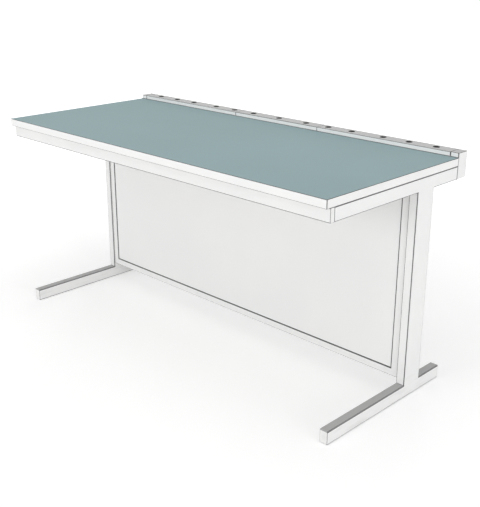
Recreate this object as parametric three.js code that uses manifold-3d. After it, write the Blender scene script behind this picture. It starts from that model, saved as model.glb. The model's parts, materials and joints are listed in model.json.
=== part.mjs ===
// Laboratory bench: a laminated worktop on two welded C-shaped side frames, with a framed back panel
// between the uprights and a low service duct along the rear edge that carries a row of round outlets.
// Millimetres, +Z up, origin on the floor under the centre of the bench, front towards -Y.

import * as THREE from 'three';
import { mergeVertices } from 'three/addons/utils/BufferGeometryUtils.js';
import Module from 'manifold-3d';

const wasm = await Module();
wasm.setup();

// Worktop
const BENCH_LENGTH = 1800;
const WORKTOP_DEPTH = 750;
const WORKTOP_UNDERSIDE = 850;
const CORE_THICKNESS = 29.5;
const LAMINATE_THICKNESS = 1.5;
const EDGE_BAND_THICKNESS = 2;

// Side frames and rails, all of rectangular steel tube
const TUBE_WIDTH = 35;
const TUBE_WALL = 2;
const TUBE_CORNER = 3;
const RAIL_HEIGHT = 50;
const UPRIGHT_DEPTH = 100;
const UPRIGHT_SETBACK = 500;
const FOOT_HEIGHT = 50;
const FOOT_LENGTH = 685;
const FOOT_SETBACK = 50;
const FOOT_STRIP_THICKNESS = 2;
const FOOT_STRIP_EDGE = 1.5;
const FRONT_RAIL_SETBACK = 20;
const FRONT_RAIL_DEPTH = 20;
const REAR_RAIL_GAP = 60;
const END_CAP_PLATE = 3;
const END_CAP_PLUG = 12;

// Back panel between the uprights
const PANEL_SETBACK = 5;
const PANEL_FLOOR_GAP = 70;
const PANEL_FRAME_WIDTH = 30;
const PANEL_FRAME_DEPTH = 20;
const INFILL_RECESS = 2;
const GASKET_WIDTH = 3;
const GASKET_PROUD = 0.5;
const CLIP_WIDTH = 44;
const CLIP_HEIGHT = 30;
const CLIP_THICKNESS = 2;
const CLIP_END_DISTANCE = 150;

// Angle brackets that hold the worktop to the front rail
const BRACKET_LEG = 38;
const BRACKET_LENGTH = 60;
const BRACKET_THICKNESS = 3;
const BRACKET_END_DISTANCE = 400;
const SCREW_HOLE = 5;

// Service duct
const DUCT_DEPTH = 60;
const DUCT_HEIGHT = 99;
const DUCT_SHEET = 2;
const DUCT_LIP = 12;
const FASCIA_HOOK = 14;
const LID_THICKNESS = 2;
const LID_LEG = 14;
const LID_LEG_THICKNESS = 1.5;
const LID_JOINT_GAP = 2;
const JOINT_AFTER_OUTLET = 83;

// Outlets in the lids
const OUTLET_PITCH = 120;
const OUTLET_END_DISTANCE = 78;
const OUTLETS_IN_GROUP = 3;
const OUTLET_GROUPS_A_SIDE = 2;
const OUTLET_FLANGE_DIAMETER = 26;
const OUTLET_FLANGE_THICKNESS = 1;
const OUTLET_FLANGE_CHAMFER = 0.5;
const OUTLET_BODY_DIAMETER = 21.4;
const OUTLET_BODY_LENGTH = 24;
const OUTLET_DISH_DIAMETER = 20;
const OUTLET_DISH_FLOOR = 16;
const OUTLET_DISH_DEPTH = 3;
const OUTLET_BEAD = 0.5;

// Clearances between pieces that slide, press or weld together
const WELD_GAP = 0.3;
const FIT_GAP = 0.3;
const SLIDE_GAP = 0.5;

// Facets
const CORNER_STEPS = 2;
const ROUND_STEPS = 18;
const HOLE_STEPS = 12;

// Places that follow from the sizes above
const END_X = BENCH_LENGTH / 2;
const INNER_X = END_X - TUBE_WIDTH;
const FRONT_Y = -(WORKTOP_DEPTH + DUCT_DEPTH) / 2;
const DUCT_Y = FRONT_Y + WORKTOP_DEPTH;
const BACK_Y = DUCT_Y + DUCT_DEPTH;
const RAIL_BOTTOM = WORKTOP_UNDERSIDE - RAIL_HEIGHT;
const WORKTOP_SURFACE = WORKTOP_UNDERSIDE + CORE_THICKNESS + LAMINATE_THICKNESS;
const RAIL_FRONT_Y = FRONT_Y + FRONT_RAIL_SETBACK;
const ARM_FRONT_Y = RAIL_FRONT_Y + FRONT_RAIL_DEPTH;
const UPRIGHT_Y = FRONT_Y + UPRIGHT_SETBACK;
const FOOT_FRONT_Y = FRONT_Y + FOOT_SETBACK;
const PANEL_Y = UPRIGHT_Y + PANEL_SETBACK;
const LID_TOP = RAIL_BOTTOM + DUCT_HEIGHT;
const LID_BOTTOM = LID_TOP - LID_THICKNESS;

const paint = { color: 0xeeeeee, roughness: 0.45, metalness: 0 };
const laminate = { color: 0x96aaac, roughness: 0.4, metalness: 0 };
const chipboard = { color: 0xc2a57c, roughness: 0.9, metalness: 0 };
const edging = { color: 0xf0f0f0, roughness: 0.4, metalness: 0 };
const melamine = { color: 0xefefef, roughness: 0.5, metalness: 0 };
const greyPlastic = { color: 0xaaaaaa, roughness: 0.6, metalness: 0 };
const greyLid = { color: 0xb8b8b8, roughness: 0.45, metalness: 0 };
const sealRubber = { color: 0x3c3f40, roughness: 0.8, metalness: 0 };
const blackPlastic = { color: 0x2e2e2e, roughness: 0.4, metalness: 0 };
const zincSteel = { color: 0xb4b8bb, roughness: 0.35, metalness: 1 };

const bench = new THREE.Group();

function place(group, name, geometry, finish, x = 0, y = 0, z = 0) {
  const mesh = new THREE.Mesh(geometry, new THREE.MeshStandardMaterial(finish));
  mesh.name = name;
  mesh.position.set(x, y, z);
  group.add(mesh);
}

function solidFrom(geometry) {
  const bare = geometry.clone();
  bare.deleteAttribute('normal');
  bare.deleteAttribute('uv');
  const merged = mergeVertices(bare);
  const vertProperties = new Float32Array(merged.attributes.position.array);
  const triVerts = new Uint32Array(merged.index.array);
  return new wasm.Manifold(new wasm.Mesh({ numProp: 3, vertProperties, triVerts }));
}

function geometryFrom(solid) {
  const mesh = solid.getMesh();
  const geometry = new THREE.BufferGeometry();
  geometry.setAttribute('position', new THREE.BufferAttribute(mesh.vertProperties, 3));
  geometry.setIndex(new THREE.BufferAttribute(mesh.triVerts, 1));
  geometry.computeVertexNormals();
  return geometry;
}

// Turns a shape drawn flat and pushed along its own normal so that the push runs along X, Y or Z. The
// flat drawing is then (y, z) for X, (x, z) for Y, where the push runs backwards, and (x, y) for Z.
function pushAlong(axis, shape, length) {
  const geometry = new THREE.ExtrudeGeometry(shape, {
    depth: length,
    steps: 1,
    bevelEnabled: false,
    curveSegments: CORNER_STEPS,
  });
  const x = new THREE.Vector3(1, 0, 0);
  const y = new THREE.Vector3(0, 1, 0);
  const z = new THREE.Vector3(0, 0, 1);
  const turn = new THREE.Matrix4();
  if (axis === 'x') {
    turn.makeBasis(y, z, x);
  } else if (axis === 'y') {
    turn.makeBasis(x, z, y.clone().negate());
    turn.setPosition(0, length, 0);
  }
  return geometry.applyMatrix4(turn);
}

// Rectangle about the origin with rounded corners.
function roundedRectangle(width, height, corner, path = new THREE.Shape()) {
  const w = width / 2;
  const h = height / 2;
  const r = Math.min(corner, w / 2, h / 2);
  path.moveTo(w - r, -h);
  path.absarc(w - r, -h + r, r, -Math.PI / 2, 0);
  path.absarc(w - r, h - r, r, 0, Math.PI / 2);
  path.absarc(-w + r, h - r, r, Math.PI / 2, Math.PI);
  path.absarc(-w + r, -h + r, r, Math.PI, Math.PI * 1.5);
  path.closePath();
  return path;
}

function rectangle(width, height, path = new THREE.Shape()) {
  const w = width / 2;
  const h = height / 2;
  path.moveTo(-w, -h);
  path.lineTo(w, -h);
  path.lineTo(w, h);
  path.lineTo(-w, h);
  path.closePath();
  return path;
}

function tubeSection(width, height) {
  const section = roundedRectangle(width, height, TUBE_CORNER);
  const bore = roundedRectangle(
    width - 2 * TUBE_WALL,
    height - 2 * TUBE_WALL,
    Math.max(TUBE_CORNER - TUBE_WALL, TUBE_CORNER / 3),
    new THREE.Path(),
  );
  section.holes.push(bore);
  return section;
}

function polygon(points) {
  return new THREE.Shape(points.map(([u, v]) => new THREE.Vector2(u, v)));
}

// Moulded cap for an open tube end: a plate with the tube's outline and a plug that fits its bore. It
// points along +axis, with the plate's inner face at the origin, or along -axis when flipped.
function endCap(axis, width, height, plate, flipped) {
  const bore = 2 * (TUBE_WALL + FIT_GAP);
  const outline = roundedRectangle(width, height, TUBE_CORNER);
  const plug = roundedRectangle(width - bore, height - bore, TUBE_CORNER);
  const plateGeometry = pushAlong(axis, outline, plate);
  const plugGeometry = pushAlong(axis, plug, END_CAP_PLUG + plate / 2);
  const way = new THREE.Vector3(axis === 'x' ? 1 : 0, axis === 'y' ? 1 : 0, axis === 'z' ? 1 : 0);
  const platePlace = way.clone().multiplyScalar(flipped ? -plate : 0);
  const plugPlace = way.clone().multiplyScalar(flipped ? -plate / 2 : -END_CAP_PLUG);
  plateGeometry.translate(platePlace.x, platePlace.y, platePlace.z);
  plugGeometry.translate(plugPlace.x, plugPlace.y, plugPlace.z);
  return geometryFrom(solidFrom(plateGeometry).add(solidFrom(plugGeometry)));
}

// Worktop: chipboard core with glued edge bands on its three open edges, under a laminate sheet that
// runs out over the bands
const worktop = new THREE.Group();
const boardLength = BENCH_LENGTH - 2 * EDGE_BAND_THICKNESS;
const boardDepth = WORKTOP_DEPTH - EDGE_BAND_THICKNESS;
const boardY = DUCT_Y - boardDepth / 2;
const bandZ = WORKTOP_UNDERSIDE + CORE_THICKNESS / 2;
const laminateZ = WORKTOP_SURFACE - LAMINATE_THICKNESS / 2;
const coreBoard = new THREE.BoxGeometry(boardLength, boardDepth, CORE_THICKNESS);
const laminateSheet = new THREE.BoxGeometry(BENCH_LENGTH, WORKTOP_DEPTH, LAMINATE_THICKNESS);
const frontBand = new THREE.BoxGeometry(BENCH_LENGTH, EDGE_BAND_THICKNESS, CORE_THICKNESS);
const endBand = new THREE.BoxGeometry(EDGE_BAND_THICKNESS, boardDepth, CORE_THICKNESS);
const bandX = END_X - EDGE_BAND_THICKNESS / 2;
place(worktop, 'worktop_core', coreBoard, chipboard, 0, boardY, bandZ);
place(worktop, 'worktop_laminate', laminateSheet, laminate, 0, DUCT_Y - WORKTOP_DEPTH / 2, laminateZ);
place(worktop, 'edge_band_front', frontBand, edging, 0, FRONT_Y + EDGE_BAND_THICKNESS / 2, bandZ);
place(worktop, 'edge_band_left', endBand, edging, -bandX, boardY, bandZ);
place(worktop, 'edge_band_right', endBand.clone(), edging, bandX, boardY, bandZ);
bench.add(worktop);

// Side frames: foot, upright and arm of tube, welded flush, in a group centred on the frame's own width
const armLength = DUCT_Y - ARM_FRONT_Y;
const footTubeLength = FOOT_LENGTH - 2 * END_CAP_PLATE;
const footBackY = FOOT_FRONT_Y + FOOT_LENGTH;
const uprightBackY = UPRIGHT_Y + UPRIGHT_DEPTH;
const stripWidth = TUBE_WIDTH - 2 * FOOT_STRIP_EDGE;

// The upright is coped at both ends, so that its side walls close over the rounded edges of the tubes.
function copedUpright() {
  const height = RAIL_BOTTOM - FOOT_HEIGHT + 2 * TUBE_CORNER;
  const blank = pushAlong('z', tubeSection(TUBE_WIDTH, UPRIGHT_DEPTH), height);
  blank.translate(0, UPRIGHT_Y + UPRIGHT_DEPTH / 2, FOOT_HEIGHT - TUBE_CORNER);
  let solid = solidFrom(blank);
  const reach = UPRIGHT_DEPTH * 2;
  const seats = [
    { height: FOOT_HEIGHT, middle: FOOT_HEIGHT / 2 },
    { height: RAIL_HEIGHT, middle: RAIL_BOTTOM + RAIL_HEIGHT / 2 },
  ];
  for (const seat of seats) {
    const outline = roundedRectangle(
      TUBE_WIDTH + 2 * WELD_GAP,
      seat.height + 2 * WELD_GAP,
      TUBE_CORNER + WELD_GAP,
    );
    const cutter = pushAlong('y', outline, reach);
    cutter.translate(0, UPRIGHT_Y + UPRIGHT_DEPTH / 2 - reach / 2, seat.middle);
    solid = solid.subtract(solidFrom(cutter));
  }
  return geometryFrom(solid);
}

// Scuff strip on the foot, a flat bar with its two upper edges chamfered.
function footStrip(length) {
  const w = stripWidth / 2;
  const t = FOOT_STRIP_THICKNESS;
  const c = t / 2;
  return pushAlong('y', polygon([[-w, 0], [w, 0], [w, t - c], [w - c, t], [-w + c, t], [-w, t - c]]), length);
}

for (const [side, sign] of [['left', -1], ['right', 1]]) {
  const frame = new THREE.Group();
  frame.position.x = sign * (END_X - TUBE_WIDTH / 2);
  const arm = pushAlong('y', tubeSection(TUBE_WIDTH, RAIL_HEIGHT), armLength);
  const foot = pushAlong('y', tubeSection(TUBE_WIDTH, FOOT_HEIGHT), footTubeLength);
  const frontCap = endCap('y', TUBE_WIDTH, FOOT_HEIGHT, END_CAP_PLATE, true);
  const rearCap = endCap('y', TUBE_WIDTH, FOOT_HEIGHT, END_CAP_PLATE, false);
  const footMiddle = FOOT_HEIGHT / 2;
  const frontStrip = footStrip(UPRIGHT_Y - FIT_GAP - FOOT_FRONT_Y);
  const rearStrip = footStrip(footBackY - uprightBackY - FIT_GAP);
  place(frame, `${side}_arm`, arm, paint, 0, ARM_FRONT_Y, RAIL_BOTTOM + RAIL_HEIGHT / 2);
  place(frame, `${side}_upright`, copedUpright(), paint);
  place(frame, `${side}_foot`, foot, paint, 0, FOOT_FRONT_Y + END_CAP_PLATE, footMiddle);
  place(frame, `${side}_foot_cap_front`, frontCap, edging, 0, FOOT_FRONT_Y + END_CAP_PLATE, footMiddle);
  place(frame, `${side}_foot_cap_rear`, rearCap, edging, 0, footBackY - END_CAP_PLATE, footMiddle);
  place(frame, `${side}_foot_strip_front`, frontStrip, greyPlastic, 0, FOOT_FRONT_Y, FOOT_HEIGHT);
  place(frame, `${side}_foot_strip_rear`, rearStrip, greyPlastic, 0, uprightBackY + FIT_GAP, FOOT_HEIGHT);
  bench.add(frame);
}

// Rails: a flat front rail across the arm ends, and two cross rails between the arms
const rails = new THREE.Group();
rails.position.z = RAIL_BOTTOM + RAIL_HEIGHT / 2;
const frontRailLength = BENCH_LENGTH - 2 * END_CAP_PLATE;
const frontRailY = RAIL_FRONT_Y + FRONT_RAIL_DEPTH / 2;
const frontRail = pushAlong('x', tubeSection(FRONT_RAIL_DEPTH, RAIL_HEIGHT), frontRailLength);
const crossRail = pushAlong('x', tubeSection(TUBE_WIDTH, RAIL_HEIGHT), 2 * INNER_X);
const railCapLeft = endCap('x', FRONT_RAIL_DEPTH, RAIL_HEIGHT, END_CAP_PLATE, true);
const railCapRight = endCap('x', FRONT_RAIL_DEPTH, RAIL_HEIGHT, END_CAP_PLATE, false);
place(rails, 'front_rail', frontRail, paint, -frontRailLength / 2, frontRailY, 0);
place(rails, 'front_rail_cap_left', railCapLeft, edging, -frontRailLength / 2, frontRailY, 0);
place(rails, 'front_rail_cap_right', railCapRight, edging, frontRailLength / 2, frontRailY, 0);
place(rails, 'middle_rail', crossRail, paint, -INNER_X, PANEL_Y + TUBE_WIDTH / 2, 0);
place(rails, 'rear_rail', crossRail.clone(), paint, -INNER_X, DUCT_Y - REAR_RAIL_GAP - TUBE_WIDTH / 2, 0);
bench.add(rails);

// Worktop brackets: angles screwed to the back of the front rail and to the underside of the core
function worktopBracket() {
  const leg = BRACKET_LEG;
  const t = BRACKET_THICKNESS;
  const angle = polygon([[0, 0], [0, -leg], [t, -leg], [t, -t], [leg, -t], [leg, 0]]);
  const geometry = pushAlong('x', angle, BRACKET_LENGTH);
  geometry.translate(-BRACKET_LENGTH / 2, 0, 0);
  let solid = solidFrom(geometry);
  const upHole = new THREE.CylinderGeometry(SCREW_HOLE / 2, SCREW_HOLE / 2, 4 * t, HOLE_STEPS);
  const acrossHole = upHole.clone();
  upHole.rotateX(Math.PI / 2);
  for (const x of [-BRACKET_LENGTH / 4, BRACKET_LENGTH / 4]) {
    solid = solid.subtract(solidFrom(upHole.clone().translate(x, leg / 2, 0)));
    solid = solid.subtract(solidFrom(acrossHole.clone().translate(x, 0, -leg / 2)));
  }
  return geometryFrom(solid);
}

const brackets = new THREE.Group();
brackets.position.set(0, ARM_FRONT_Y, WORKTOP_UNDERSIDE);
const bracketX = END_X - BRACKET_END_DISTANCE;
place(brackets, 'worktop_bracket_left', worktopBracket(), zincSteel, -bracketX);
place(brackets, 'worktop_bracket_right', worktopBracket(), zincSteel, bracketX);
bench.add(brackets);

// Back panel: a frame of tube round a faced board, sealed by a gasket and held from behind by clips
const panel = new THREE.Group();
panel.position.y = PANEL_Y;
const panelBottom = PANEL_FLOOR_GAP;
const panelTop = RAIL_BOTTOM;
const stileX = INNER_X - PANEL_FRAME_WIDTH / 2;
const openingX = INNER_X - PANEL_FRAME_WIDTH;
const openingBottom = panelBottom + PANEL_FRAME_WIDTH;
const openingTop = panelTop - PANEL_FRAME_WIDTH;
const frameMiddle = PANEL_FRAME_DEPTH / 2;
const stile = pushAlong('z', tubeSection(PANEL_FRAME_WIDTH, PANEL_FRAME_DEPTH), panelTop - panelBottom);
const panelRail = pushAlong('x', tubeSection(PANEL_FRAME_DEPTH, PANEL_FRAME_WIDTH), 2 * openingX);
const railMiddle = PANEL_FRAME_WIDTH / 2;
const infillDepth = PANEL_FRAME_DEPTH - INFILL_RECESS;
const openingMiddle = (openingBottom + openingTop) / 2;
const openingWidth = 2 * openingX;
const openingHeight = openingTop - openingBottom;
const infillWidth = openingWidth - 2 * GASKET_WIDTH;
const infillHeight = openingHeight - 2 * GASKET_WIDTH;
const infill = new THREE.BoxGeometry(infillWidth, infillDepth, infillHeight);
const gasketShape = rectangle(openingWidth, openingHeight);
gasketShape.holes.push(rectangle(infillWidth, infillHeight, new THREE.Path()));
const gasketY = INFILL_RECESS - GASKET_PROUD;
const gasket = pushAlong('y', gasketShape, PANEL_FRAME_DEPTH - gasketY);
place(panel, 'panel_stile_left', stile, paint, -stileX, frameMiddle, panelBottom);
place(panel, 'panel_stile_right', stile.clone(), paint, stileX, frameMiddle, panelBottom);
place(panel, 'panel_rail_bottom', panelRail, paint, -openingX, frameMiddle, openingBottom - railMiddle);
place(panel, 'panel_rail_top', panelRail.clone(), paint, -openingX, frameMiddle, openingTop + railMiddle);
place(panel, 'panel_infill', infill, melamine, 0, INFILL_RECESS + infillDepth / 2, openingMiddle);
place(panel, 'panel_gasket', gasket, sealRubber, 0, gasketY, openingMiddle);

const clipShape = roundedRectangle(CLIP_WIDTH, CLIP_HEIGHT, SCREW_HOLE);
for (const x of [-CLIP_WIDTH / 4, CLIP_WIDTH / 4]) {
  const hole = new THREE.Path();
  hole.absarc(x, 0, SCREW_HOLE / 2, 0, Math.PI * 2, true);
  clipShape.holes.push(hole);
}
const clipPlaces = [
  ['panel_clip_bottom_left', -openingX, openingBottom + CLIP_END_DISTANCE],
  ['panel_clip_bottom_right', openingX, openingBottom + CLIP_END_DISTANCE],
  ['panel_clip_top_left', -openingX, openingTop - CLIP_END_DISTANCE],
  ['panel_clip_top_right', openingX, openingTop - CLIP_END_DISTANCE],
];
for (const [name, x, z] of clipPlaces) {
  place(panel, name, pushAlong('y', clipShape, CLIP_THICKNESS), zincSteel, x, PANEL_FRAME_DEPTH, z);
}
bench.add(panel);

// Service duct: a folded tray between two end posts, closed by three fascia strips and three lids
const duct = new THREE.Group();
const trayBottom = RAIL_BOTTOM;
const lipY = DUCT_Y + DUCT_LIP;
const backLipY = BACK_Y - DUCT_LIP;
const innerFrontY = DUCT_Y + DUCT_SHEET;
const innerBackY = BACK_Y - DUCT_SHEET;
const lipBottom = LID_BOTTOM - DUCT_SHEET;
const trayShape = polygon([
  [DUCT_Y, trayBottom],
  [BACK_Y, trayBottom],
  [BACK_Y, LID_BOTTOM],
  [backLipY, LID_BOTTOM],
  [backLipY, lipBottom],
  [innerBackY, lipBottom],
  [innerBackY, trayBottom + DUCT_SHEET],
  [innerFrontY, trayBottom + DUCT_SHEET],
  [innerFrontY, WORKTOP_UNDERSIDE],
  [DUCT_Y, WORKTOP_UNDERSIDE],
]);
place(duct, 'duct_tray', pushAlong('x', trayShape, 2 * INNER_X), paint, -INNER_X);

const postHeight = LID_BOTTOM - trayBottom;
const ductMiddleY = (DUCT_Y + BACK_Y) / 2;
const postX = END_X - TUBE_WIDTH / 2;
for (const [side, sign] of [['left', -1], ['right', 1]]) {
  const post = pushAlong('z', tubeSection(TUBE_WIDTH, DUCT_DEPTH), postHeight);
  const cap = endCap('z', TUBE_WIDTH, DUCT_DEPTH, LID_THICKNESS, false);
  place(duct, `duct_post_${side}`, post, paint, sign * postX, ductMiddleY, trayBottom);
  place(duct, `duct_post_cap_${side}`, cap, greyLid, sign * postX, ductMiddleY, LID_BOTTOM);
}

// Outlets stand in groups on the duct's centre line, with one by itself in the middle
const outletReach = INNER_X - OUTLET_END_DISTANCE;
const groupLength = (OUTLETS_IN_GROUP - 1) * OUTLET_PITCH;
const groupGap = outletReach / OUTLET_GROUPS_A_SIDE - groupLength;
const outletXs = [0];
for (let group = 0; group < OUTLET_GROUPS_A_SIDE; group += 1) {
  for (let step = 0; step < OUTLETS_IN_GROUP; step += 1) {
    const x = groupGap + group * (groupLength + groupGap) + step * OUTLET_PITCH;
    outletXs.push(x, -x);
  }
}
outletXs.sort((a, b) => a - b);

// Fascia strip: hooked behind the tray's front wall, with a lip at the top that carries the lid
const hookBackY = innerFrontY + DUCT_SHEET;
const fasciaShape = polygon([
  [DUCT_Y, WORKTOP_UNDERSIDE],
  [innerFrontY, WORKTOP_UNDERSIDE],
  [innerFrontY, WORKTOP_UNDERSIDE - FASCIA_HOOK],
  [hookBackY, WORKTOP_UNDERSIDE - FASCIA_HOOK],
  [hookBackY, WORKTOP_UNDERSIDE + FASCIA_HOOK],
  [innerFrontY, WORKTOP_UNDERSIDE + FASCIA_HOOK],
  [innerFrontY, lipBottom],
  [lipY, lipBottom],
  [lipY, LID_BOTTOM],
  [DUCT_Y, LID_BOTTOM],
]);

// Lid: a channel with two inner legs that drop between the lips of the tray and the fascia
const legFrontY = lipY + SLIDE_GAP;
const legBackY = backLipY - SLIDE_GAP;
const lidShape = polygon([
  [DUCT_Y, LID_BOTTOM],
  [legFrontY, LID_BOTTOM],
  [legFrontY, LID_BOTTOM - LID_LEG],
  [legFrontY + LID_LEG_THICKNESS, LID_BOTTOM - LID_LEG],
  [legFrontY + LID_LEG_THICKNESS, LID_BOTTOM],
  [legBackY - LID_LEG_THICKNESS, LID_BOTTOM],
  [legBackY - LID_LEG_THICKNESS, LID_BOTTOM - LID_LEG],
  [legBackY, LID_BOTTOM - LID_LEG],
  [legBackY, LID_BOTTOM],
  [BACK_Y, LID_BOTTOM],
  [BACK_Y, LID_TOP],
  [DUCT_Y, LID_TOP],
]);

function lidWithHoles(startX, endX) {
  const blank = pushAlong('x', lidShape, endX - startX);
  blank.translate(startX, 0, 0);
  let solid = solidFrom(blank);
  const radius = OUTLET_BODY_DIAMETER / 2 + FIT_GAP;
  const drill = new THREE.CylinderGeometry(radius, radius, 4 * LID_THICKNESS, ROUND_STEPS);
  drill.rotateX(Math.PI / 2);
  for (const x of outletXs.filter((at) => at > startX && at < endX)) {
    solid = solid.subtract(solidFrom(drill.clone().translate(x, ductMiddleY, LID_TOP - LID_THICKNESS / 2)));
  }
  return geometryFrom(solid);
}

const sectionX = groupGap + JOINT_AFTER_OUTLET;
const halfGap = LID_JOINT_GAP / 2;
const sections = [
  ['left', -INNER_X + halfGap, -sectionX - halfGap],
  ['middle', -sectionX + halfGap, sectionX - halfGap],
  ['right', sectionX + halfGap, INNER_X - halfGap],
];
for (const [name, startX, endX] of sections) {
  place(duct, `duct_fascia_${name}`, pushAlong('x', fasciaShape, endX - startX), paint, startX);
  place(duct, `duct_lid_${name}`, lidWithHoles(startX, endX), greyLid);
}

// Outlet: a turned-looking moulding with a dished face, a flange on the lid and a snap bead under it
function outletInsert() {
  const flangeRadius = OUTLET_FLANGE_DIAMETER / 2;
  const bodyRadius = OUTLET_BODY_DIAMETER / 2;
  const top = OUTLET_FLANGE_THICKNESS;
  const beadTop = -LID_THICKNESS - FIT_GAP;
  const beadLength = 2 * LID_THICKNESS;
  const profile = [
    [0, top - OUTLET_DISH_DEPTH],
    [OUTLET_DISH_FLOOR / 2, top - OUTLET_DISH_DEPTH],
    [OUTLET_DISH_DIAMETER / 2, top],
    [flangeRadius - OUTLET_FLANGE_CHAMFER, top],
    [flangeRadius, top - OUTLET_FLANGE_CHAMFER],
    [flangeRadius, 0],
    [bodyRadius, 0],
    [bodyRadius, beadTop],
    [bodyRadius + OUTLET_BEAD, beadTop],
    [bodyRadius, beadTop - beadLength],
    [bodyRadius, -OUTLET_BODY_LENGTH],
    [0, -OUTLET_BODY_LENGTH],
  ];
  const points = profile.reverse().map(([r, z]) => new THREE.Vector2(r, z));
  const turned = new THREE.LatheGeometry(points, ROUND_STEPS);
  return turned.rotateX(Math.PI / 2);
}

outletXs.forEach((x, index) => {
  const number = String(index + 1).padStart(2, '0');
  place(duct, `outlet_${number}`, outletInsert(), blackPlastic, x, ductMiddleY, LID_TOP);
});
bench.add(duct);

export default bench;
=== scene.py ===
import json
import math

import bmesh
import bpy
from mathutils import Color, Matrix, Vector


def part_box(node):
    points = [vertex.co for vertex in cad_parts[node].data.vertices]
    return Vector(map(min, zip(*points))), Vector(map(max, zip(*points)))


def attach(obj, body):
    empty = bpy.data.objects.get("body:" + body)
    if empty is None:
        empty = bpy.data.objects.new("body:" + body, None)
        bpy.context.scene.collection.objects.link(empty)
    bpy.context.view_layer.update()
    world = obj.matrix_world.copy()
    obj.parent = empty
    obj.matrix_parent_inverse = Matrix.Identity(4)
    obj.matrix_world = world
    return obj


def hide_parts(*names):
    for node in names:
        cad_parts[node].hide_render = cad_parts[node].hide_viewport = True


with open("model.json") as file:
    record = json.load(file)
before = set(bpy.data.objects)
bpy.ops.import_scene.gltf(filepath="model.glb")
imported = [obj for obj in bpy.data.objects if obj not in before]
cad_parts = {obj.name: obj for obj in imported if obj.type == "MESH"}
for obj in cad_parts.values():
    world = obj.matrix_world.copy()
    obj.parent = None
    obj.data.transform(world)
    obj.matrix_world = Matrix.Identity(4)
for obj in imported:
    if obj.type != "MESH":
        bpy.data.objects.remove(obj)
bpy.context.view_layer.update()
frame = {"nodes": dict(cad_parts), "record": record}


# Side frames: on each side a foot, an upright and an arm of rectangular steel tube, welded into a C,
# ground flush and powder coated near-white as one piece. The tubes' rounded edges and the seams at the
# arms' ends are dark grey painted shade lines, and shoes leave scuffs near the floor.
MM = 0.001
GRAIN_HEIGHT = 0.2 * MM
CLOUD_REACH = (0.3, 0.7)  # the span of the cloud noise over which the dark tone turns into the light one


def shade(red, green, blue):
    """A screen colour, 0 to 255, as the linear colour that a shader takes."""
    screen = Color((red / 255, green / 255, blue / 255))
    return (*screen.from_srgb_to_scene_linear(), 1.0)


def add_node(tree, kind, values, group=None):
    """A new shader node with some of its inputs set; a group node takes its group first."""
    node = tree.nodes.new(kind)
    if group:
        node.node_tree = group
    for name, value in values.items():
        node.inputs[name].default_value = value
    return node


def combine(tree, operation, first, second):
    """One number worked out from two others."""
    node = tree.nodes.new("ShaderNodeMath")
    node.operation = operation
    tree.links.new(first, node.inputs[0])
    tree.links.new(second, node.inputs[1])
    return node.outputs["Value"]


def new_group(name, inputs, outputs):
    """A shader node group with its named number inputs and outputs, still empty."""
    group = bpy.data.node_groups.new(name, "ShaderNodeTree")
    for socket in inputs:
        group.interface.new_socket(socket, in_out="INPUT", socket_type="NodeSocketFloat")
    for socket in outputs:
        group.interface.new_socket(socket, in_out="OUTPUT", socket_type="NodeSocketFloat")
    return group


def build_fine_grain():
    """Group: the small grain of a coat or a moulding, and its slow unevenness over the whole piece."""
    group = new_group("fine_grain", ("Grain Scale", "Cloud Scale"), ("Height", "Cloud"))
    link = group.links.new
    source = group.nodes.new("NodeGroupInput")
    result = group.nodes.new("NodeGroupOutput")
    place = group.nodes.new("ShaderNodeTexCoord")
    for scale, name, detail in (("Grain Scale", "Height", 2.0), ("Cloud Scale", "Cloud", 4.0)):
        noise = add_node(group, "ShaderNodeTexNoise", {"Detail": detail})
        link(place.outputs["Object"], noise.inputs["Vector"])
        link(source.outputs[scale], noise.inputs["Scale"])
        link(noise.outputs["Fac"], result.inputs[name])
    return group


def build_floor_scuff():
    """Group: a mask of the dull marks that shoes and mops leave just above the floor."""
    marks_per_metre = (30.0, 8.0, 60.0)
    group = new_group("floor_scuff", ("Reach", "Amount"), ("Mask",))
    link = group.links.new
    source = group.nodes.new("NodeGroupInput")
    result = group.nodes.new("NodeGroupOutput")
    place = group.nodes.new("ShaderNodeTexCoord")
    height = group.nodes.new("ShaderNodeSeparateXYZ")
    fade = add_node(group, "ShaderNodeMapRange", {"To Min": 1.0, "To Max": 0.0})
    stretch = add_node(group, "ShaderNodeMapping", {"Scale": marks_per_metre})
    marks = add_node(group, "ShaderNodeTexNoise", {"Scale": 1.0, "Detail": 6.0})
    sharpen = add_node(group, "ShaderNodeMapRange", {"From Min": 0.5, "From Max": 0.75})
    link(place.outputs["Object"], height.inputs["Vector"])
    link(height.outputs["Z"], fade.inputs["Value"])
    link(source.outputs["Reach"], fade.inputs["From Max"])
    link(place.outputs["Object"], stretch.inputs["Vector"])
    link(stretch.outputs["Vector"], marks.inputs["Vector"])
    link(marks.outputs["Fac"], sharpen.inputs["Value"])
    low_marks = combine(group, "MULTIPLY", fade.outputs["Result"], sharpen.outputs["Result"])
    link(combine(group, "MULTIPLY", low_marks, source.outputs["Amount"]), result.inputs["Mask"])
    return group


FINE_GRAIN = build_fine_grain()
FLOOR_SCUFF = build_floor_scuff()


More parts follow.
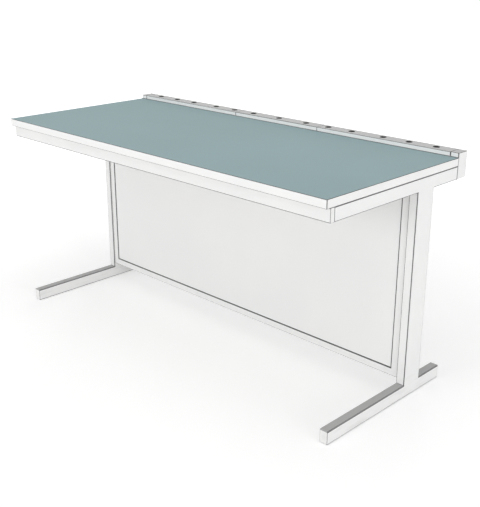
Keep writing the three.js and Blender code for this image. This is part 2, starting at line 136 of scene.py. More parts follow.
def coat(name, light, dark, grain, bump, roughness, cloud=5.0, metallic=0.0, shine=0.5):
    """A finish whose colour and gloss drift a little over the piece, with a fine grain in its surface."""
    material = bpy.data.materials.new(name)
    material.use_nodes = True
    tree = material.node_tree
    link = tree.links.new
    shader = tree.nodes["Principled BSDF"]
    shader.inputs["Metallic"].default_value = metallic
    shader.inputs["Specular IOR Level"].default_value = shine
    surface = add_node(tree, "ShaderNodeGroup", {"Grain Scale": grain, "Cloud Scale": cloud}, FINE_GRAIN)
    colour = tree.nodes.new("ShaderNodeValToRGB")
    colour.name = "colour"
    for stop, reach, tone in zip(colour.color_ramp.elements, CLOUD_REACH, (dark, light)):
        stop.position = reach
        stop.color = tone
    gloss = add_node(tree, "ShaderNodeMapRange", {"To Min": roughness[0], "To Max": roughness[1]})
    bumps = add_node(tree, "ShaderNodeBump", {"Strength": bump, "Distance": GRAIN_HEIGHT})
    link(surface.outputs["Cloud"], colour.inputs["Fac"])
    link(surface.outputs["Cloud"], gloss.inputs["Value"])
    link(surface.outputs["Height"], bumps.inputs["Height"])
    link(colour.outputs["Color"], shader.inputs["Base Color"])
    link(gloss.outputs["Result"], shader.inputs["Roughness"])
    link(bumps.outputs["Normal"], shader.inputs["Normal"])
    return material


def lay_over(material, colour, mask):
    """Lays a colour over a finish as strongly as a mask says."""
    tree = material.node_tree
    mixed = add_node(tree, "ShaderNodeMixRGB", {"Color2": colour})
    tree.links.new(mask, mixed.inputs["Fac"])
    tree.links.new(tree.nodes["colour"].outputs["Color"], mixed.inputs["Color1"])
    tree.links.new(mixed.outputs["Color"], tree.nodes["Principled BSDF"].inputs["Base Color"])


def add_scuffs(material, colour, reach, amount):
    """Lays floor scuffs over a finish, up to a reach above the floor."""
    values = {"Reach": reach, "Amount": amount}
    scuff = add_node(material.node_tree, "ShaderNodeGroup", values, FLOOR_SCUFF)
    lay_over(material, colour, scuff.outputs["Mask"])


PAINT = coat(
    "powder_coat", shade(240, 240, 239), shade(236, 236, 236),
    grain=900.0, bump=0.12, roughness=(0.42, 0.52),
)
# painted shade: a dark grey for the rounded edges of the coated steel, as shade lines along them
EDGE_SHADE_PAINT = coat(
    "powder_coat_painted_shade_edge", shade(106, 107, 108), shade(96, 97, 98),
    grain=900.0, bump=0.12, roughness=(0.45, 0.55),
)
add_scuffs(PAINT, shade(190, 190, 188), reach=0.12, amount=0.35)
add_scuffs(EDGE_SHADE_PAINT, shade(88, 88, 86), reach=0.12, amount=0.4)

X, Y, Z = 0, 1, 2
SIDES = ("left", "right")
TUBE_RADIUS = 3.0 * MM
TUBE_STEPS = 4
CUT_EDGE = 0.35 * MM
CUT_STEPS = 2
SEAM_EDGE = 1.6 * MM
NEAR = 0.05 * MM  # places closer than this count as one
MOSTLY = 0.5  # a face points a way when its normal has more than this along it
FLAT_ANGLE = math.radians(1)
SMOOTH_ANGLE = math.radians(40)
# on most pieces this slot holds painted shade, dark lines along the edges; on the laminate its dark cut
# edge, on an outlet its dished face
EDGE_FINISH = 1  # the slot of the finish that a piece has along its edges
SAME_FINISH = -1  # the finish of the faces beside a rounding


def block(name, low, high, *finishes):
    """A plain block between two corners, its place in its mesh, to be shaped further."""
    low = Vector(low)
    high = Vector(high)
    bpy.ops.object.select_all(action="DESELECT")
    bpy.ops.mesh.primitive_cube_add(size=1, location=(low + high) / 2)
    piece = bpy.context.object
    piece.name = name
    piece.data.name = name
    piece.scale = high - low
    bpy.ops.object.transform_apply(location=True, rotation=True, scale=True)
    for finish in finishes:
        piece.data.materials.append(finish)
    return piece


def at(place, *spots):
    """Whether a coordinate is at one of these spots."""
    return min(abs(place - spot) for spot in spots) < NEAR


def open_piece(piece, kind):
    """Opens a piece for editing by faces or by edges, with nothing selected."""
    bpy.context.view_layer.objects.active = piece
    bpy.ops.object.mode_set(mode="EDIT")
    bpy.ops.mesh.select_mode(type=kind)
    bpy.ops.mesh.select_all(action="DESELECT")
    return bmesh.from_edit_mesh(piece.data)


def pick_faces(piece, wanted):
    """Opens a piece with the faces selected that wanted(middle, facing) says yes to."""
    shape = open_piece(piece, "FACE")
    for face in shape.faces:
        face.select_set(wanted(face.calc_center_median(), face.normal))
    shape.select_flush_mode()
    bmesh.update_edit_mesh(piece.data)


def pick_edges(piece, wanted):
    """Opens a piece with the edges selected whose two ends wanted(a, b) says yes to."""
    shape = open_piece(piece, "EDGE")
    for edge in shape.edges:
        edge.select_set(wanted(edge.verts[0].co, edge.verts[1].co))
    shape.select_flush_mode()
    bmesh.update_edit_mesh(piece.data)


def every_face(middle, facing):
    """Picks a piece's whole surface."""
    return True


def close_piece():
    """Ends the editing of a piece."""
    bpy.ops.object.mode_set(mode="OBJECT")


def score(piece, y):
    """Scores a piece all round, square to Y."""
    pick_faces(piece, every_face)
    bpy.ops.mesh.bisect(plane_co=(0, y, 0), plane_no=(0, 1, 0))
    close_piece()


def pull(piece, wanted, move):
    """Draws the wanted faces out by a move."""
    pick_faces(piece, wanted)
    bpy.ops.mesh.extrude_region_move(TRANSFORM_OT_translate={"value": move})
    close_piece()


def join_flat_faces(piece):
    """Makes one face of neighbours that lie in one plane."""
    pick_faces(piece, every_face)
    bpy.ops.mesh.dissolve_limited(angle_limit=FLAT_ANGLE)
    close_piece()


def round_edges(piece, wanted, radius, steps, finish=SAME_FINISH):
    """Rounds the wanted edges, and gives the rounding its finish."""
    pick_edges(piece, wanted)
    bpy.ops.mesh.bevel(offset=radius, segments=steps, affect="EDGES", material=finish)
    close_piece()


def settle(piece, body, slot, *nodes):
    """Shades a finished piece and puts it on its body, in place of its solids."""
    bpy.ops.object.select_all(action="DESELECT")
    piece.select_set(True)
    bpy.context.view_layer.objects.active = piece
    bpy.ops.object.shade_smooth_by_angle(angle=SMOOTH_ANGLE)
    piece.modifiers.new("even_shading", "WEIGHTED_NORMAL").keep_sharp = True
    bpy.ops.object.modifier_apply(modifier="even_shading")
    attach(piece, body)
    if nodes:
        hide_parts(*nodes)


def side_frame(side):
    """One welded side: the foot is scored where the upright stands, and the rest is drawn out of it."""
    foot_low, foot_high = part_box(f"{side}_foot")
    upright_low, upright_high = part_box(f"{side}_upright")
    arm_low, arm_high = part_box(f"{side}_arm")
    front = upright_low[Y]
    back = upright_high[Y]
    arm_bottom = arm_low[Z]
    piece = block(f"{side}_side_frame", foot_low, foot_high, PAINT, EDGE_SHADE_PAINT)
    score(piece, front)
    score(piece, back)

    def upright_top(middle, facing):
        return facing.z > MOSTLY and front < middle.y < back

    def arm_front(middle, facing):
        return facing.y < -MOSTLY and middle.z > arm_bottom

    def arm_back(middle, facing):
        return facing.y > MOSTLY and middle.z > arm_bottom

    pull(piece, upright_top, (0, 0, arm_bottom - foot_high[Z]))
    pull(piece, upright_top, (0, 0, arm_high[Z] - arm_bottom))
    pull(piece, arm_front, (0, arm_low[Y] - front, 0))
    pull(piece, arm_back, (0, arm_high[Y] - back, 0))

    def foot_end(a, b):
        return at(a.y, b.y) and at(a.y, foot_low[Y], foot_high[Y])

    def arm_end(a, b):
        return at(a.y, b.y) and at(a.y, arm_low[Y], arm_high[Y])

    def tube_edge(a, b):
        flush = at(a.x, b.x) and not at(a.x, foot_low[X], foot_high[X])
        return not foot_end(a, b) and not arm_end(a, b) and not flush

    join_flat_faces(piece)
    # the tube edges and the arm ends get the dark grey of painted shade lines
    round_edges(piece, tube_edge, TUBE_RADIUS, TUBE_STEPS, EDGE_FINISH)
    round_edges(piece, foot_end, CUT_EDGE, CUT_STEPS)
    round_edges(piece, arm_end, SEAM_EDGE, CUT_STEPS, EDGE_FINISH)
    settle(piece, "bench", "frame_paint", f"{side}_foot", f"{side}_upright", f"{side}_arm")


for side in SIDES:
    side_frame(side)


# Foot caps and scuff strips: a white moulded cap closes each end of a foot, and a grey extruded strip
# with grooves along it is glued on the foot's top, in front of the upright and behind it. The rims of
# caps and strips are dark grey painted shade lines.
CAP_PLATE = 3.0 * MM
CAP_EDGE = 1.2 * MM
STRIP_EDGE = 1.2 * MM
GROOVES = 5
GROOVE_WIDTH = 2.0 * MM
GROOVE_DEPTH = 0.7 * MM
GROOVE_EDGE = 0.3 * MM
CAP_WHITE = coat(
    "cap_plastic", shade(238, 238, 237), shade(233, 233, 232),
    grain=1400.0, bump=0.08, roughness=(0.45, 0.55),
)
# painted shade: dark grey for the caps' rounded rims, as shade lines along them
CAP_SHADE_RIM = coat(
    "cap_plastic_painted_shade_rim", shade(112, 113, 114), shade(102, 103, 104),
    grain=1400.0, bump=0.08, roughness=(0.45, 0.55),
)
add_scuffs(CAP_WHITE, shade(190, 190, 188), reach=0.1, amount=0.35)
STRIP_GREY = coat(
    "strip_plastic", shade(186, 186, 185), shade(178, 178, 178),
    grain=1600.0, bump=0.2, roughness=(0.55, 0.7),
)
# painted shade: dark grey for the strips' rounded end rims, as shade lines along them
STRIP_SHADE_RIM = coat(
    "strip_plastic_painted_shade_rim", shade(112, 112, 112), shade(100, 100, 100),
    grain=1600.0, bump=0.2, roughness=(0.55, 0.7),
)


def end_cap(node, axis, outward, plate, slot, *finishes):
    """The plate of a tube cap, facing outward along an axis; its plug is out of sight in the tube."""
    low, high = (Vector(corner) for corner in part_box(node))
    if outward > 0:
        face = high[axis]
        low[axis] = face - plate
    else:
        face = low[axis]
        high[axis] = face + plate
    piece = block(node + "_plate", low, high, *finishes)

    def corner_edge(a, b):
        return not at(a[axis], b[axis])

    def face_edge(a, b):
        return at(a[axis], face) and at(b[axis], face)

    # the cap's corners and face edges get the dark grey of painted shade lines
    round_edges(piece, corner_edge, TUBE_RADIUS, TUBE_STEPS, EDGE_FINISH)
    round_edges(piece, face_edge, CAP_EDGE, TUBE_STEPS, EDGE_FINISH)
    settle(piece, "bench", slot, node)


for side in SIDES:
    end_cap(f"{side}_foot_cap_front", Y, -1, CAP_PLATE, "end_cap", CAP_WHITE, CAP_SHADE_RIM)
    end_cap(f"{side}_foot_cap_rear", Y, 1, CAP_PLATE, "end_cap", CAP_WHITE, CAP_SHADE_RIM)


def drop(tool):
    """Clears away a tool or a pattern that has done its work."""
    bpy.data.objects.remove(tool, do_unlink=True)


def carve(piece, tool):
    """Takes a tool's shape out of a piece."""
    bpy.context.view_layer.objects.active = piece
    knife = piece.modifiers.new("knife", "BOOLEAN")
    knife.operation = "DIFFERENCE"
    knife.object = tool
    bpy.ops.object.modifier_apply(modifier="knife")
    drop(tool)


def foot_strip(node):
    """A strip as long as its stretch of the foot, with its grooves open at both ends."""
    low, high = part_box(node)
    piece = block(node + "_grooved", low, high, STRIP_GREY, STRIP_SHADE_RIM)
    pitch = (high[X] - low[X]) / (GROOVES + 1)
    for number in range(GROOVES):
        left = low[X] + pitch * (number + 1) - GROOVE_WIDTH / 2
        groove_low = (left, low[Y] - GROOVE_WIDTH, high[Z] - GROOVE_DEPTH)
        groove_high = (left + GROOVE_WIDTH, high[Y] + GROOVE_WIDTH, high[Z] + GROOVE_WIDTH)
        carve(piece, block("groove", groove_low, groove_high))

    def top_edge(a, b):
        return at(a.z, high[Z]) and at(b.z, high[Z]) and at(a.x, b.x)

    def groove_edge(a, b):
        return top_edge(a, b) and not at(a.x, low[X], high[X])

    def rim_edge(a, b):
        return top_edge(a, b) and at(a.x, low[X], high[X])

    round_edges(piece, groove_edge, GROOVE_EDGE, CUT_STEPS)
    # the end rims get the dark grey of painted shade lines
    round_edges(piece, rim_edge, STRIP_EDGE, CUT_STEPS, EDGE_FINISH)
    settle(piece, "bench", "foot_strip", node)


for side in SIDES:
    for end in ("front", "rear"):
        foot_strip(f"{side}_foot_strip_{end}")


# Rails: a flat tube across the front ends of the arms, closed by a cap at each end, and two cross tubes
# between the arms that carry the worktop, all powder coated with the frames.
def tube_bar(node, axis):
    """A straight tube along an axis, sawn square at its ends."""
    low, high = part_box(node)
    piece = block(node + "_tube", low, high, PAINT, EDGE_SHADE_PAINT)

    def long_edge(a, b):
        return not at(a[axis], b[axis])

    def end_edge(a, b):
        return at(a[axis], b[axis]) and at(a[axis], low[axis], high[axis])

    # the long edges get the dark grey of painted shade lines
    round_edges(piece, long_edge, TUBE_RADIUS, TUBE_STEPS, EDGE_FINISH)
    round_edges(piece, end_edge, CUT_EDGE, CUT_STEPS)
    settle(piece, "bench", "frame_paint", node)


for node in ("front_rail", "middle_rail", "rear_rail"):
    tube_bar(node, X)
end_cap("front_rail_cap_left", X, -1, CAP_PLATE, "end_cap", CAP_WHITE, CAP_SHADE_RIM)
end_cap("front_rail_cap_right", X, 1, CAP_PLATE, "end_cap", CAP_WHITE, CAP_SHADE_RIM)


# Worktop: a chipboard core with a grey backing foil below, near-white plastic bands glued to its edges
# and a grey-blue laminate on top. The laminate's own cut edge shows as a dark line over the bands. The
# bands' rounded outer edges are dark grey painted shade lines.
LAMINATE_CHAMFER = 1.3 * MM
CHAMFER_STEPS = 1
BAND_EDGE = 1.6 * MM
FLECKS_PER_METRE = 260.0
FLECK_CORE = 0.05
FLECK_RIM = 0.2
FLECK_STRENGTH = 0.14


def laminate_finish():
    """Laminate: a plain grey-blue with faint flecks and a fine pearl texture."""
    material = coat(
        "laminate", shade(144, 168, 171), shade(139, 163, 166),
        grain=650.0, bump=0.25, roughness=(0.5, 0.6), cloud=3.0, shine=0.2,
    )
    tree = material.node_tree
    place = tree.nodes.new("ShaderNodeTexCoord")
    flecks = add_node(tree, "ShaderNodeTexVoronoi", {"Scale": FLECKS_PER_METRE})
    fade = {"From Min": FLECK_CORE, "From Max": FLECK_RIM, "To Min": FLECK_STRENGTH, "To Max": 0.0}
    spread = add_node(tree, "ShaderNodeMapRange", fade)
    tree.links.new(place.outputs["Object"], flecks.inputs["Vector"])
    tree.links.new(flecks.outputs["Distance"], spread.inputs["Value"])
    lay_over(material, shade(205, 218, 218), spread.outputs["Result"])
    return material


LAMINATE = laminate_finish()
LAMINATE_EDGE = coat(
    "laminate_cut_edge", shade(66, 64, 62), shade(50, 48, 46),
    grain=2000.0, bump=0.1, roughness=(0.5, 0.6),
)
BAND_WHITE = coat(
    "edge_band", shade(241, 241, 240), shade(237, 237, 237),
    grain=1200.0, bump=0.08, roughness=(0.4, 0.48),
)
# painted shade: dark grey for the bands' rounded edges, as shade lines along them
BAND_SHADE_RIM = coat(
    "edge_band_painted_shade_rim", shade(106, 107, 108), shade(96, 97, 98),
    grain=1200.0, bump=0.08, roughness=(0.45, 0.55),
)
BACKING = coat(
    "backing_foil", shade(214, 212, 206), shade(204, 202, 196),
    grain=500.0, bump=0.2, roughness=(0.6, 0.7), cloud=12.0,
)


def paint_node(node, finish):
    """A solid whose shape is right keeps it and only gets its finish."""
    for slot in frame["nodes"][node].material_slots:
        slot.material = finish


def finish_picked_faces(piece, slot):
    """Gives the selected faces the finish in one of the piece's slots."""
    piece.active_material_index = slot
    bpy.ops.object.material_slot_assign()


sheet_low, sheet_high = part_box("worktop_laminate")


def upright_face(middle, facing):
    """Picks the faces that stand upright."""
    return abs(facing.z) < MOSTLY


def laminate_rim(a, b):
    """Picks the edges round the laminate's top."""
    return at(a.z, sheet_high[Z]) and at(b.z, sheet_high[Z])


paint_node("worktop_core", BACKING)
sheet = block("worktop_laminate_sheet", sheet_low, sheet_high, LAMINATE, LAMINATE_EDGE)
pick_faces(sheet, upright_face)
finish_picked_faces(sheet, EDGE_FINISH)
close_piece()
round_edges(sheet, laminate_rim, LAMINATE_CHAMFER, CHAMFER_STEPS, EDGE_FINISH)
settle(sheet, "bench", "laminate", "worktop_laminate")


def edge_band(node, axis, outward):
    """A band on one edge of the core, facing outward along an axis, with its outer edges rounded."""
    low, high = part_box(node)
    face = high[axis] if outward > 0 else low[axis]
    piece = block(node + "_strip", low, high, BAND_WHITE, BAND_SHADE_RIM)

    def outer_edge(a, b):
        on_face = at(a[axis], face) and at(b[axis], face)
        along_top = min(a.z, b.z) > high[Z] - NEAR
        at_duct = min(a.y, b.y) > sheet_high[Y] - NEAR
        return on_face and not along_top and not at_duct

    # the rounded outer edges get the dark grey of painted shade lines
    round_edges(piece, outer_edge, BAND_EDGE, TUBE_STEPS, EDGE_FINISH)
    settle(piece, "bench", "edge_band", node)


edge_band("edge_band_front", Y, -1)
edge_band("edge_band_left", X, -1)
edge_band("edge_band_right", X, 1)


# Worktop brackets: zinc-plated angles behind the front rail, each held by pan-head screws, two up into
# the core and two into the rail.
BRACKET_PLATE = 3.0 * MM
SCREW_RADIUS = 4.2 * MM
SCREW_HEIGHT = 2.6 * MM
SCREW_DOME = 0.6 * SCREW_HEIGHT
SCREW_SIDES = 24
RECESS_LENGTH = 4.6 * MM
RECESS_WIDTH = 1.0 * MM
RECESS_DEPTH = 1.4 * MM
FACING_DOWN = Matrix.Rotation(math.pi, 4, "X")
FACING_BACK = Matrix.Rotation(-math.pi / 2, 4, "X")
ZINC = coat(
    "zinc_plate", shade(198, 202, 204), shade(172, 176, 180),
    grain=300.0, bump=0.1, roughness=(0.28, 0.42), cloud=90.0, metallic=1.0,
)
SCREW_STEEL = coat(
    "screw_steel", shade(205, 207, 208), shade(180, 183, 186),
    grain=900.0, bump=0.05, roughness=(0.25, 0.35), cloud=120.0, metallic=1.0,
)


def disc(radius, height, sides, middle, *finishes):
    """A plain upright disc round its middle, its place in its mesh, to be shaped further."""
    bpy.ops.object.select_all(action="DESELECT")
    bpy.ops.mesh.primitive_cylinder_add(vertices=sides, radius=radius, depth=height, location=middle)
    bpy.ops.object.transform_apply(location=True, rotation=True, scale=True)
    piece = bpy.context.object
    for finish in finishes:
        piece.data.materials.append(finish)
    return piece


def pan_head():
    """A screw head that stands on z = 0: a domed disc with a cross recess."""
    head = disc(SCREW_RADIUS, SCREW_HEIGHT, SCREW_SIDES, (0, 0, SCREW_HEIGHT / 2), SCREW_STEEL)

    def top_edge(a, b):
        return at(a.z, SCREW_HEIGHT) and at(b.z, SCREW_HEIGHT)

    round_edges(head, top_edge, SCREW_DOME, TUBE_STEPS)
    long = RECESS_LENGTH / 2
    thin = RECESS_WIDTH / 2
    recess_floor = SCREW_HEIGHT - RECESS_DEPTH
    for across, along in ((long, thin), (thin, long)):
        recess_high = (across, along, 2 * SCREW_HEIGHT)
        carve(head, block("recess", (-across, -along, recess_floor), recess_high))
    return head


def copy_of(pattern, name):
    """A copy of a pattern, with a mesh of its own."""
    piece = pattern.copy()
    piece.data = pattern.data.copy()
    piece.name = name
    bpy.context.collection.objects.link(piece)
    return piece


def screw(name, seat, turn):
    """A copy of the screw head on its seat, turned so that it faces outwards."""
    piece = copy_of(SCREW_HEAD, name)
    piece.data.transform(Matrix.Translation(seat) @ turn)
    settle(piece, "bench", "zinc_steel")


def box_middle(node):
    """The middle of a solid's box."""
    low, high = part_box(node)
    return (Vector(low) + Vector(high)) / 2


def screw_pair(node):
    """Where a plate's two screws go along X: a quarter of its width in from each side."""
    low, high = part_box(node)
    quarter = (high[X] - low[X]) / 4
    return (low[X] + quarter, high[X] - quarter)


SCREW_HEAD = pan_head()
for side in SIDES:
    node = f"worktop_bracket_{side}"
    paint_node(node, ZINC)
    low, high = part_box(node)
    middle = box_middle(node)
    for number, x in enumerate(screw_pair(node), 1):
        screw(f"bracket_{side}_top_screw_{number}", (x, middle.y, high[Z] - BRACKET_PLATE), FACING_DOWN)
        screw(f"bracket_{side}_rail_screw_{number}", (x, low[Y] + BRACKET_PLATE, middle.z), FACING_BACK)


# Worktop screws: long pan-head screws of plated steel, put in from below through the arms and the rear
# rail and up into the chipboard core, so that the worktop can be taken off again.
ARM_SCREWS = (0.1, 0.4, 0.9)  # shares of the tube's length
RAIL_SCREWS = (0.1, 0.37, 0.63, 0.9)


def screw_row(node, axis, shares):
    """A row of screws along the underside of a tube."""
    low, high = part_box(node)
    for number, share in enumerate(shares, 1):
        seat = box_middle(node)
        seat[axis] = low[axis] + share * (high[axis] - low[axis])
        seat.z = low[Z]
        screw(f"{node}_screw_{number}", seat, FACING_DOWN)


for side in SIDES:
    screw_row(f"{side}_arm", Y, ARM_SCREWS)
screw_row("rear_rail", X, RAIL_SCREWS)


# Back panel: a welded frame of small tube, ground at the corners and coated like the frames, round a
# near-white faced board. A dark rubber gasket seals the board in the frame, and clips hold it behind.
PANEL_TUBE_RADIUS = 2.0 * MM
GASKET_EDGE = 0.8 * MM
SOFT_STEPS = 3
BOARD_EDGE = 0.6 * MM
MELAMINE = coat(
    "melamine", shade(241, 241, 240), shade(237, 237, 237),
    grain=520.0, bump=0.15, roughness=(0.45, 0.55), cloud=2.0,
)
RUBBER = coat(
    "gasket_rubber", shade(72, 74, 75), shade(58, 60, 61),
    grain=1500.0, bump=0.2, roughness=(0.65, 0.8),
)


def ring(name, low, high, width, *finishes):
    """A rectangular frame centred on X, open along Y, its members as wide as given."""
    piece = block(name, low, high, *finishes)
    hole_side = high[X] - width
    hole_top = high[Z] - width

    def front_or_back(middle, facing):
        return abs(facing.y) > MOSTLY

    def hole_edge(a, b):
        inside = max(abs(a.x), abs(b.x)) < hole_side + NEAR and max(a.z, b.z) < hole_top + NEAR
        return inside and at(a.y, b.y)

    pick_faces(piece, front_or_back)
    bpy.ops.mesh.inset(thickness=width, use_even_offset=True)
    bpy.ops.mesh.delete(type="FACE")
    close_piece()
    pick_edges(piece, hole_edge)
    bpy.ops.mesh.bridge_edge_loops()
    bpy.ops.mesh.select_all(action="SELECT")
    bpy.ops.mesh.normals_make_consistent(inside=False)
    close_piece()
    return piece


stile_low, stile_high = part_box("panel_stile_left")
stile_width = stile_high[X] - stile_low[X]
panel_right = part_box("panel_stile_right")[1][X]
panel_high = (panel_right, stile_high[Y], stile_high[Z])
gasket_low, gasket_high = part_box("panel_gasket")
gasket_width = gasket_high[X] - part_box("panel_infill")[1][X]


def member_edge(a, b):
    """Picks the long edges of the panel frame's members, and not a mitre across a corner."""
    return at(a.y, b.y) and (at(a.x, b.x) or at(a.z, b.z))


def gasket_front(a, b):
    """Picks the gasket's edges on the side towards the user."""
    return at(a.y, gasket_low[Y]) and at(b.y, gasket_low[Y])


def board_rim(a, b):
    """Picks the edges round the board's two faces."""
    return at(a.y, b.y)


panel_frame = ring("panel_frame", stile_low, panel_high, stile_width, PAINT, EDGE_SHADE_PAINT)
join_flat_faces(panel_frame)
# the members' long edges get the dark grey of painted shade lines
round_edges(panel_frame, member_edge, PANEL_TUBE_RADIUS, TUBE_STEPS, EDGE_FINISH)
settle(
    panel_frame, "bench", "frame_paint",
    "panel_stile_left", "panel_stile_right", "panel_rail_bottom", "panel_rail_top",
)

gasket = ring("panel_gasket_seal", gasket_low, gasket_high, gasket_width, RUBBER)
round_edges(gasket, gasket_front, GASKET_EDGE, SOFT_STEPS)
settle(gasket, "bench", "seal_rubber", "panel_gasket")

board = block("panel_board", *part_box("panel_infill"), MELAMINE)
round_edges(board, board_rim, BOARD_EDGE, CUT_STEPS)
settle(board, "bench", "panel_board", "panel_infill")

for height in ("bottom", "top"):
    for side in SIDES:
        node = f"panel_clip_{height}_{side}"
        paint_node(node, ZINC)
        clip_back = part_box(node)[1][Y]
        for number, x in enumerate(screw_pair(node), 1):
            seat = (x, clip_back, box_middle(node).z)
            screw(f"clip_{height}_{side}_screw_{number}", seat, FACING_BACK)
drop(SCREW_HEAD)


# Service duct: a folded steel tray between two tube posts, closed in front by three hooked strips, all
# coated like the frames. Grey moulded caps close the posts at the top. The sawn ends and eased edges
# of tray and strips, and the edges of posts and caps, are dark grey painted shade lines.
DUCT_PARTS = ("left", "middle", "right")
POST_PLATE = 2.0 * MM
FOLD_RADIUS = 0.5 * MM
MERGE_DISTANCE = 0.001 * MM
SHARP_ANGLE = math.radians(30)
# painted shade: dark grey for the edges of lids and post caps, as shade lines along them
DUCT_SHADE_EDGE = coat(
    "duct_painted_shade_edge", shade(84, 84, 84), shade(72, 72, 72),
    grain=1000.0, bump=0.1, roughness=(0.5, 0.6),
)
CAP_GREY = coat(
    "post_cap_plastic", shade(190, 190, 189), shade(183, 183, 183),
    grain=1400.0, bump=0.12, roughness=(0.5, 0.6),
)


def softened(node, radius, body, slot, *finishes):
    """A copy of a folded or drilled solid, sharp edges eased, eased edges and sawn ends in painted shade.
    """
    low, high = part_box(node)
    piece = copy_of(frame["nodes"][node], node + "_eased")
    piece.parent = None
    piece.matrix_world = Matrix.Identity(4)
    piece.data.materials.clear()
    for finish in finishes:
        piece.data.materials.append(finish)
    bpy.ops.object.select_all(action="DESELECT")
    piece.select_set(True)

    def sawn_end(middle, facing):
        return abs(facing.x) > MOSTLY and at(middle.x, low[X], high[X])

    pick_faces(piece, every_face)
    bpy.ops.mesh.remove_doubles(threshold=MERGE_DISTANCE)
    close_piece()
    join_flat_faces(piece)
    # painted shade: the sawn ends, and below them the eased edges, take the dark second finish
    pick_faces(piece, sawn_end)
    finish_picked_faces(piece, EDGE_FINISH)
    close_piece()
    eased = piece.modifiers.new("eased", "BEVEL")
    eased.width = radius
    eased.segments = CUT_STEPS
    eased.limit_method = "ANGLE"
    eased.angle_limit = SHARP_ANGLE
    eased.material = EDGE_FINISH
    bpy.ops.object.modifier_apply(modifier="eased")
    settle(piece, body, slot, node)


softened("duct_tray", FOLD_RADIUS, "bench", "frame_paint", PAINT, EDGE_SHADE_PAINT)
for part in DUCT_PARTS:
    softened(f"duct_fascia_{part}", FOLD_RADIUS, "bench", "frame_paint", PAINT, EDGE_SHADE_PAINT)
for side in SIDES:
    tube_bar(f"duct_post_{side}", Z)
    # the post caps' edges are dark grey painted shade lines
    end_cap(f"duct_post_cap_{side}", Z, 1, POST_PLATE, "post_cap", CAP_GREY, DUCT_SHADE_EDGE)


# Lids and outlets: three grey painted lids, extruded as channels, drop between the lips of the duct.
# Each outlet is a black moulding pushed through its lid, with a rim, a dished face and two contact holes.
# The lids' eased edges and sawn ends are dark grey painted shade lines.
LID_EDGE = 0.7 * MM
LEVEL = 0.99  # the part along Z of the normal of a face that lies flat
OUTLET_SIDES = 48
RIM_WIDTH = 2.4 * MM
RIM_ROUNDING = 0.45  # a share of the rim's height
DISH_SLOPE = 2.2 * MM
DISH_DEPTH = 2.6 * MM
BARREL_RADIUS = 10.7 * MM
CONTACT_RADIUS = 2.1 * MM
CONTACT_SIDES = 16
CONTACT_OFFSET = 4.4 * MM
CONTACT_DEPTH = 12.0 * MM
LID_GREY = coat(
    "lid_paint", shade(190, 190, 189), shade(183, 183, 183),
    grain=1000.0, bump=0.1, roughness=(0.45, 0.55),
)
OUTLET_BLACK = coat(
    "outlet_plastic", shade(22, 22, 22), shade(16, 16, 16),
    grain=1300.0, bump=0.12, roughness=(0.5, 0.6), shine=0.1,
)
OUTLET_FACE = coat(
    "outlet_face", shade(38, 38, 38), shade(32, 32, 32),
    grain=1300.0, bump=0.15, roughness=(0.6, 0.7), shine=0.1,
)


def outlet_moulding():
    """An outlet standing on z = 0, the lid's top, with its barrel below."""
    low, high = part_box("outlet_07")
    lid_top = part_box("duct_lid_middle")[1][Z]
    radius = (high[Y] - low[Y]) / 2
    rim = high[Z] - lid_top
    barrel = lid_top - low[Z]
    piece = disc(radius, rim, OUTLET_SIDES, (0, 0, rim / 2), OUTLET_BLACK, OUTLET_FACE)

    def rim_edge(a, b):
        return at(a.z, rim) and at(b.z, rim)

    def top_face(middle, facing):
        return facing.z > LEVEL

    def under_face(middle, facing):
        return facing.z < -LEVEL

    round_edges(piece, rim_edge, rim * RIM_ROUNDING, SOFT_STEPS)
    pick_faces(piece, top_face)
    bpy.ops.mesh.inset(thickness=RIM_WIDTH)
    bpy.ops.mesh.inset(thickness=DISH_SLOPE, depth=-DISH_DEPTH)
    finish_picked_faces(piece, EDGE_FINISH)
    close_piece()
    pick_faces(piece, under_face)
    bpy.ops.mesh.inset(thickness=radius - BARREL_RADIUS)
    bpy.ops.mesh.extrude_region_move(TRANSFORM_OT_translate={"value": (0, 0, -barrel)})
    close_piece()
    for x in (-CONTACT_OFFSET, CONTACT_OFFSET):
        carve(piece, disc(CONTACT_RADIUS, CONTACT_DEPTH, CONTACT_SIDES, (x, 0, -DISH_DEPTH)))
    return piece


OUTLET = outlet_moulding()
for part in DUCT_PARTS:
    body = f"lid_{part}"
    lid = f"duct_lid_{part}"
    # the lid's eased edges and sawn ends take the dark grey of painted shade
    softened(lid, LID_EDGE, body, "duct_lid", LID_GREY, DUCT_SHADE_EDGE)
    for node in frame["record"]["behaviour"]["bodies"][body]:
        if node.startswith("outlet"):
            seat = box_middle(node)
            seat.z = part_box(lid)[1][Z]
            piece = copy_of(OUTLET, node + "_moulding")
            piece.data.transform(Matrix.Translation(seat))
            settle(piece, body, "outlet", node)
drop(OUTLET)


# Worktop seal: a bead of grey sealant, run along the corner where the laminate meets the duct and
# smoothed round, so that no spill gets into the joint.
BEAD = 2.4 * MM
BEAD_ROUNDING = 0.9 * BEAD
SEALANT = coat(
    "sealant", shade(120, 124, 125), shade(104, 108, 109),
    grain=700.0, bump=0.15, roughness=(0.4, 0.55),
)
bead_low = (sheet_low[X], sheet_high[Y] - BEAD, sheet_high[Z])
bead_high = (sheet_high[X], sheet_high[Y], sheet_high[Z] + BEAD)
bead = block("worktop_seal", bead_low, bead_high, SEALANT)


def outer_corner(a, b):
    """Picks the bead's long edge away from both the laminate and the duct."""
    off_duct = max(a.y, b.y) < bead_high[Y] - NEAR
    off_laminate = min(a.z, b.z) > bead_low[Z] + NEAR
    return off_duct and off_laminate


round_edges(bead, outer_corner, BEAD_ROUNDING, TUBE_STEPS)
settle(bead, "bench", "seal_rubber")


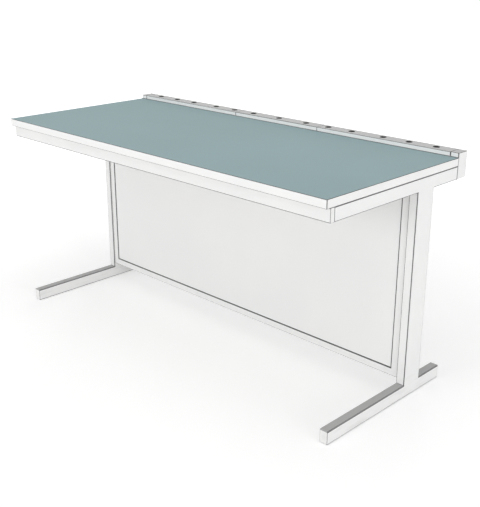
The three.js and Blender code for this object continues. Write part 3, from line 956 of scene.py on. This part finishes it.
# Studio: the photograph's camera, a white floor that keeps the bench's shadow, a pale sky, and soft
# lamps well away from the bench in front, at the right, behind and above.
IMAGE_HEIGHT = 507
FOCAL_PIXELS = 839.0
SHIFT_PIXELS = (4.365, -9.726)
SENSOR = 36.0
CAMERA_PLACE = (2.4191, -2.3181, 1.5993)
CAMERA_PITCH = math.radians(70.517)
CAMERA_YAW = math.radians(44.924)
camera_data = bpy.data.cameras.new("camera")
camera_data.sensor_fit = "VERTICAL"
camera_data.sensor_height = SENSOR
camera_data.lens = FOCAL_PIXELS * SENSOR / IMAGE_HEIGHT
camera_data.shift_x = SHIFT_PIXELS[0] / IMAGE_HEIGHT
camera_data.shift_y = SHIFT_PIXELS[1] / IMAGE_HEIGHT
camera = bpy.data.objects.new("camera", camera_data)
camera.location = CAMERA_PLACE
camera.rotation_euler = (CAMERA_PITCH, 0, CAMERA_YAW)
bpy.context.collection.objects.link(camera)
scene = bpy.context.scene
scene.camera = camera
scene.view_settings.view_transform = "Standard"

WHITE = (1, 1, 1, 1)
FLOOR_SIZE = 120.0
FLOOR_GAP = 0.5 * MM
FLOOR_ROUGHNESS = 0.9
NEAR_GLOW = 0.29
FAR_GLOW = 0.62
NEAR_REACH = 1.2
FAR_REACH = 4.0


def seen_directly(tree):
    """1 for what the camera sees straight, in a reflection or through glass, and 0 for light that falls."""
    path = tree.nodes.new("ShaderNodeLightPath")
    seen = combine(tree, "MAXIMUM", path.outputs["Is Camera Ray"], path.outputs["Is Glossy Ray"])
    return combine(tree, "MAXIMUM", seen, path.outputs["Is Transmission Ray"])


def floor_finish():
    """A matt white that fades to a plain white ground away from the bench."""
    material = bpy.data.materials.new("studio_floor")
    material.use_nodes = True
    tree = material.node_tree
    shader = tree.nodes["Principled BSDF"]
    shader.inputs["Base Color"].default_value = shade(232, 232, 232)
    shader.inputs["Roughness"].default_value = FLOOR_ROUGHNESS
    shader.inputs["Specular IOR Level"].default_value = 0.0
    shader.inputs["Emission Color"].default_value = WHITE
    place = tree.nodes.new("ShaderNodeTexCoord")
    distance = tree.nodes.new("ShaderNodeVectorMath")
    distance.operation = "LENGTH"
    reach = {"From Min": NEAR_REACH, "From Max": FAR_REACH, "To Min": NEAR_GLOW, "To Max": FAR_GLOW}
    evened = add_node(tree, "ShaderNodeMapRange", reach)
    tree.links.new(place.outputs["Object"], distance.inputs[0])
    tree.links.new(distance.outputs["Value"], evened.inputs["Value"])
    glow = combine(tree, "MULTIPLY", seen_directly(tree), evened.outputs["Result"])
    tree.links.new(glow, shader.inputs["Emission Strength"])
    return material


bpy.ops.object.select_all(action="DESELECT")
bpy.ops.mesh.primitive_plane_add(size=FLOOR_SIZE, location=(0, 0, -FLOOR_GAP))
floor = bpy.context.object
floor.name = "studio_floor"
floor.data.materials.append(floor_finish())

SKY_LIGHT = 0.62
SKY_SEEN = 1.0
world = bpy.data.worlds.new("studio")
world.use_nodes = True
scene.world = world
sky_tree = world.node_tree
sky = sky_tree.nodes["Background"]
sky.inputs["Color"].default_value = WHITE
sky_level = add_node(sky_tree, "ShaderNodeMapRange", {"To Min": SKY_LIGHT, "To Max": SKY_SEEN})
sky_tree.links.new(seen_directly(sky_tree), sky_level.inputs["Value"])
sky_tree.links.new(sky_level.outputs["Result"], sky.inputs["Strength"])

AIM = Vector((0.0, 0.0, 0.45))


def soft_lamp(name, place, size, power):
    """A large round lamp that faces the bench."""
    data = bpy.data.lights.new(name, "AREA")
    data.shape = "DISK"
    data.size = size
    data.energy = power
    lamp = bpy.data.objects.new(name, data)
    lamp.location = place
    lamp.rotation_euler = (AIM - Vector(place)).to_track_quat("-Z", "Y").to_euler()
    bpy.context.collection.objects.link(lamp)
    return lamp


soft_lamp("front_light", place=(-1.2, -8.4, 2.0), size=4.0, power=212.0)
soft_lamp("side_light", place=(8.0, -1.5, 1.5), size=3.0, power=175.0)
back_light = soft_lamp("back_light", place=(-5.2, 8.0, 2.2), size=4.0, power=180.0)
back_light.visible_glossy = False
soft_lamp("top_light", place=(0.4, -0.9, 4.4), size=4.0, power=36.0)
